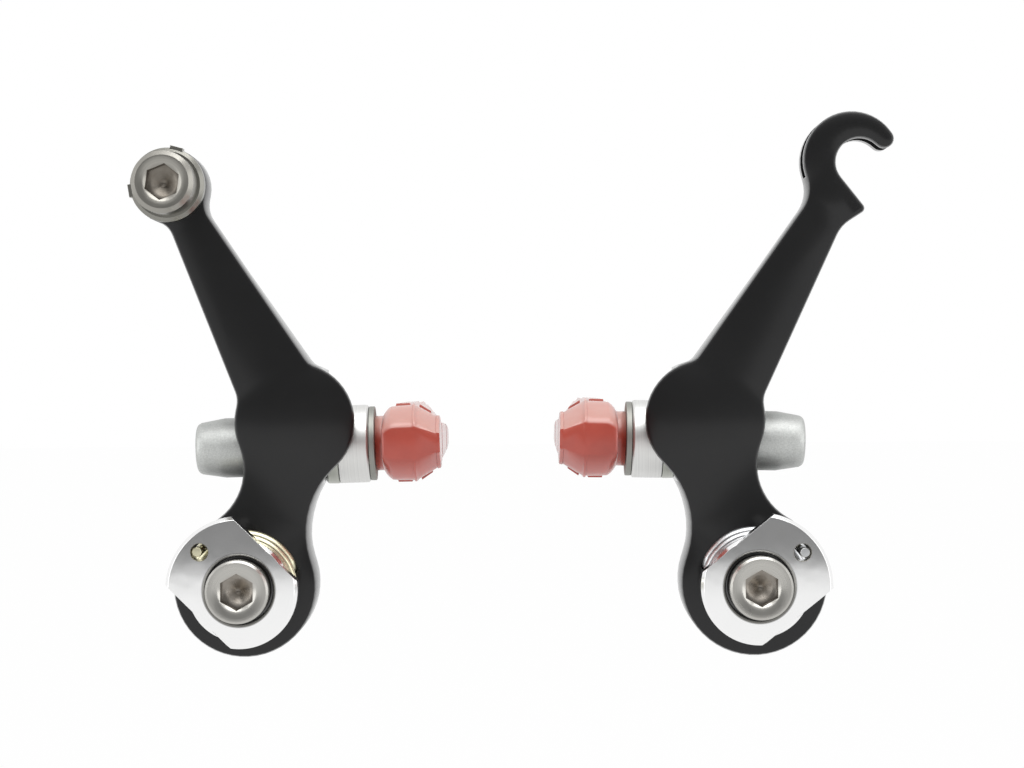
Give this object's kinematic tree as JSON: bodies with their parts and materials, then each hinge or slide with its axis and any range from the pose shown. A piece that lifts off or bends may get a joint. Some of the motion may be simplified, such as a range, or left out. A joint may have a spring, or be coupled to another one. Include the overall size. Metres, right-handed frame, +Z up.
{
  "type": "cantilever brake",
  "caption": "Cantilever rim brake: two black arms with sprung pivots, red pads on threaded studs, a cable anchor bolt and a forked straddle-cable hook.",
  "frame": {"origin": "axis of the left pivot, at the front end of its bushing", "axes": "+X along the line between the pivots, +Y from the brake towards the fork or frame behind it, along the pivot axes, +Z up"},
  "size_m": [0.1239, 0.055, 0.088],
  "materials": {
    "black_anodised": "black satin anodised",
    "turned_steel": "turned",
    "stainless_bolt": "satin stainless",
    "polished_steel": "mirror polished",
    "stainless_washer": "satin stainless",
    "bright_aluminium": "turned satin",
    "red_rubber": "moulded matte",
    "blasted_steel": "bead blasted",
    "yellow_zinc_wire": "yellow zinc plated",
    "silver_zinc_wire": "zinc plated"
  },
  "bodies": {
    "fixture": {"left_pivot_bushing": "turned_steel", "left_mounting_bolt": "stainless_bolt", "left_return_spring": "yellow_zinc_wire", "right_pivot_bushing": "turned_steel", "right_mounting_bolt": "stainless_bolt", "right_return_spring": "silver_zinc_wire"},
    "left_arm_body": {"left_arm": "black_anodised", "anchor_bolt": "stainless_bolt", "anchor_washer": "stainless_washer"},
    "left_plate_body": {"left_tension_plate": "polished_steel"},
    "left_dome_body": {"left_inner_dome_washer": "stainless_washer", "left_outer_dome_washer": "stainless_washer"},
    "left_cup_body": {"left_inner_cup_washer": "bright_aluminium", "left_outer_cup_washer": "stainless_washer"},
    "left_pad_body": {"left_brake_pad": "red_rubber", "left_pad_stud": "turned_steel", "left_thin_washer": "stainless_washer", "left_barrel_nut": "blasted_steel"},
    "right_arm_body": {"right_arm": "black_anodised"},
    "right_plate_body": {"right_tension_plate": "polished_steel"},
    "right_dome_body": {"right_inner_dome_washer": "stainless_washer", "right_outer_dome_washer": "stainless_washer"},
    "right_cup_body": {"right_inner_cup_washer": "bright_aluminium", "right_outer_cup_washer": "stainless_washer"},
    "right_pad_body": {"right_brake_pad": "red_rubber", "right_pad_stud": "turned_steel", "right_thin_washer": "stainless_washer", "right_barrel_nut": "blasted_steel"}
  },
  "joints": [
    {"name": "left_arm_pivot", "type": "hinge", "parent": "fixture", "child": "left_arm_body", "pos_m": [0, 0.0108, 0], "axis": [0, 1, 0], "range_deg": [-25, 14], "stiffness_Nm_per_rad": 1.5, "deforming": ["left_return_spring"]},
    {"name": "left_spring_tension", "type": "hinge", "parent": "fixture", "child": "left_plate_body", "pos_m": [0, -0.0035, 0], "axis": [0, 1, 0], "range_deg": [-30, 30], "deforming": ["left_return_spring"]},
    {"name": "left_pad_height", "type": "slide", "parent": "left_arm_body", "child": "left_dome_body", "axis": [0, 0, 1], "range_m": [-0.0025, 0.0025]},
    {"name": "left_pad_toe", "type": "hinge", "parent": "left_dome_body", "child": "left_cup_body", "pos_m": [0.00895, 0.0122, 0.0225], "axis": [0, 0, 1], "range_deg": [-4, 4]},
    {"name": "left_pad_swivel", "type": "hinge", "parent": "left_cup_body", "child": "left_pad_body", "pos_m": [0.00895, 0.0122, 0.0225], "axis": [0.9997, 0, 0.0244], "range_deg": [-12, 12]},
    {"name": "right_arm_pivot", "type": "hinge", "parent": "fixture", "child": "right_arm_body", "pos_m": [0.0825, 0.0108, 0], "axis": [0, -1, 0], "range_deg": [-25, 14], "stiffness_Nm_per_rad": 1.5, "deforming": ["right_return_spring"]},
    {"name": "right_spring_tension", "type": "hinge", "parent": "fixture", "child": "right_plate_body", "pos_m": [0.0825, -0.0035, 0], "axis": [0, -1, 0], "range_deg": [-30, 30], "deforming": ["right_return_spring"]},
    {"name": "right_pad_height", "type": "slide", "parent": "right_arm_body", "child": "right_dome_body", "axis": [0, 0, 1], "range_m": [-0.0025, 0.0025]},
    {"name": "right_pad_toe", "type": "hinge", "parent": "right_dome_body", "child": "right_cup_body", "pos_m": [0.07415, 0.0122, 0.023], "axis": [0, 0, -1], "range_deg": [-4, 4]},
    {"name": "right_pad_swivel", "type": "hinge", "parent": "right_cup_body", "child": "right_pad_body", "pos_m": [0.07415, 0.0122, 0.023], "axis": [0.9997, 0, -0.0227], "range_deg": [-12, 12]}
  ]
}
